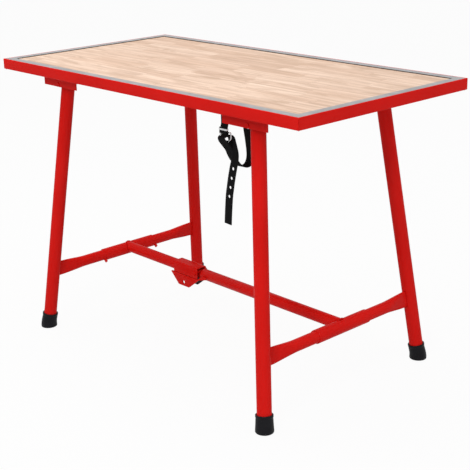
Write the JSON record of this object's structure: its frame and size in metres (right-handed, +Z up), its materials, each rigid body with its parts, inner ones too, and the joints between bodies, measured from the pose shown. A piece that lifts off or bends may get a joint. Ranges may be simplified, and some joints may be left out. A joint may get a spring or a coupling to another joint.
{
  "type": "folding work bench",
  "caption": "Folding work bench: a wooden top in a steel rim on splayed tube leg trestles that fold under it, tied by a two-piece strut with a lift-off knee; a strap hangs below.",
  "frame": {"origin": "on the floor, under the middle of the top", "axes": "+X along the length of the top, +Y from the strap side to the far side, +Z up"},
  "size_m": [1.2, 0.652, 0.81],
  "materials": {
    "red_paint": "gloss",
    "timber": "satin",
    "bare_steel": "satin",
    "bright_steel": "satin",
    "black_steel": "satin",
    "rubber": "matte",
    "webbing": "matte"
  },
  "bodies": {
    "top": {"wood_top": "timber", "rim_front": "red_paint", "rim_back": "red_paint", "rim_left": "red_paint", "rim_right": "red_paint", "edge_strip_front": "bare_steel", "edge_strip_back": "bare_steel", "edge_strip_left": "bare_steel", "edge_strip_right": "bare_steel", "cross_rail_left": "red_paint", "cross_rail_right": "red_paint", "bracket_front_left": "red_paint", "bracket_back_left": "red_paint", "bracket_front_right": "red_paint", "bracket_back_right": "red_paint", "hinge_bolts": "red_paint", "hinge_nuts": "bright_steel", "hinge_washers": "bright_steel", "top_screws": "bright_steel", "strap_short": "webbing", "strap_long": "webbing", "strap_buckle": "bright_steel", "strap_keeper": "bright_steel", "strap_screws": "bright_steel"},
    "left_trestle": {"leg_front_left": "red_paint", "leg_back_left": "red_paint", "barrels_left": "red_paint", "brace_left": "red_paint", "stop_tabs_left": "red_paint", "foot_front_left": "rubber", "foot_back_left": "rubber"},
    "right_trestle": {"leg_front_right": "red_paint", "leg_back_right": "red_paint", "barrels_right": "red_paint", "brace_right": "red_paint", "stop_tabs_right": "red_paint", "foot_front_right": "rubber", "foot_back_right": "rubber"},
    "left_strut": {"short_sleeve": "red_paint", "short_tube": "red_paint", "knee_saddle": "red_paint", "knee_bolt": "red_paint", "knee_nut": "black_steel"},
    "right_strut": {"long_sleeve": "red_paint", "long_tube": "red_paint", "hook_plate": "red_paint", "knee_cheeks": "red_paint"}
  },
  "joints": [
    {"name": "left_fold", "type": "hinge", "parent": "top", "child": "left_trestle", "pos_m": [-0.39, 0, 0.753], "axis": [0, -1, 0], "range_deg": [0, 94.5]},
    {"name": "right_fold", "type": "hinge", "parent": "top", "child": "right_trestle", "pos_m": [0.39, 0, 0.753], "axis": [0, 1, 0], "range_deg": [0, 82], "deforming": ["strap_long"]},
    {"name": "left_strut_swing", "type": "hinge", "parent": "left_trestle", "child": "left_strut", "pos_m": [-0.45434, 0, 0.183], "axis": [0, -1, 0], "range_deg": [0, 83.54]},
    {"name": "right_strut_swing", "type": "hinge", "parent": "right_trestle", "child": "right_strut", "pos_m": [0.45434, 0, 0.183], "axis": [0, -1, 0], "range_deg": [0, 261.99]}
  ],
  "couplings": [
    {"joint": "left_strut_swing", "follows": "left_fold", "ratio": 0.884},
    {"joint": "right_strut_swing", "follows": "right_fold", "ratio": 3.195}
  ]
}
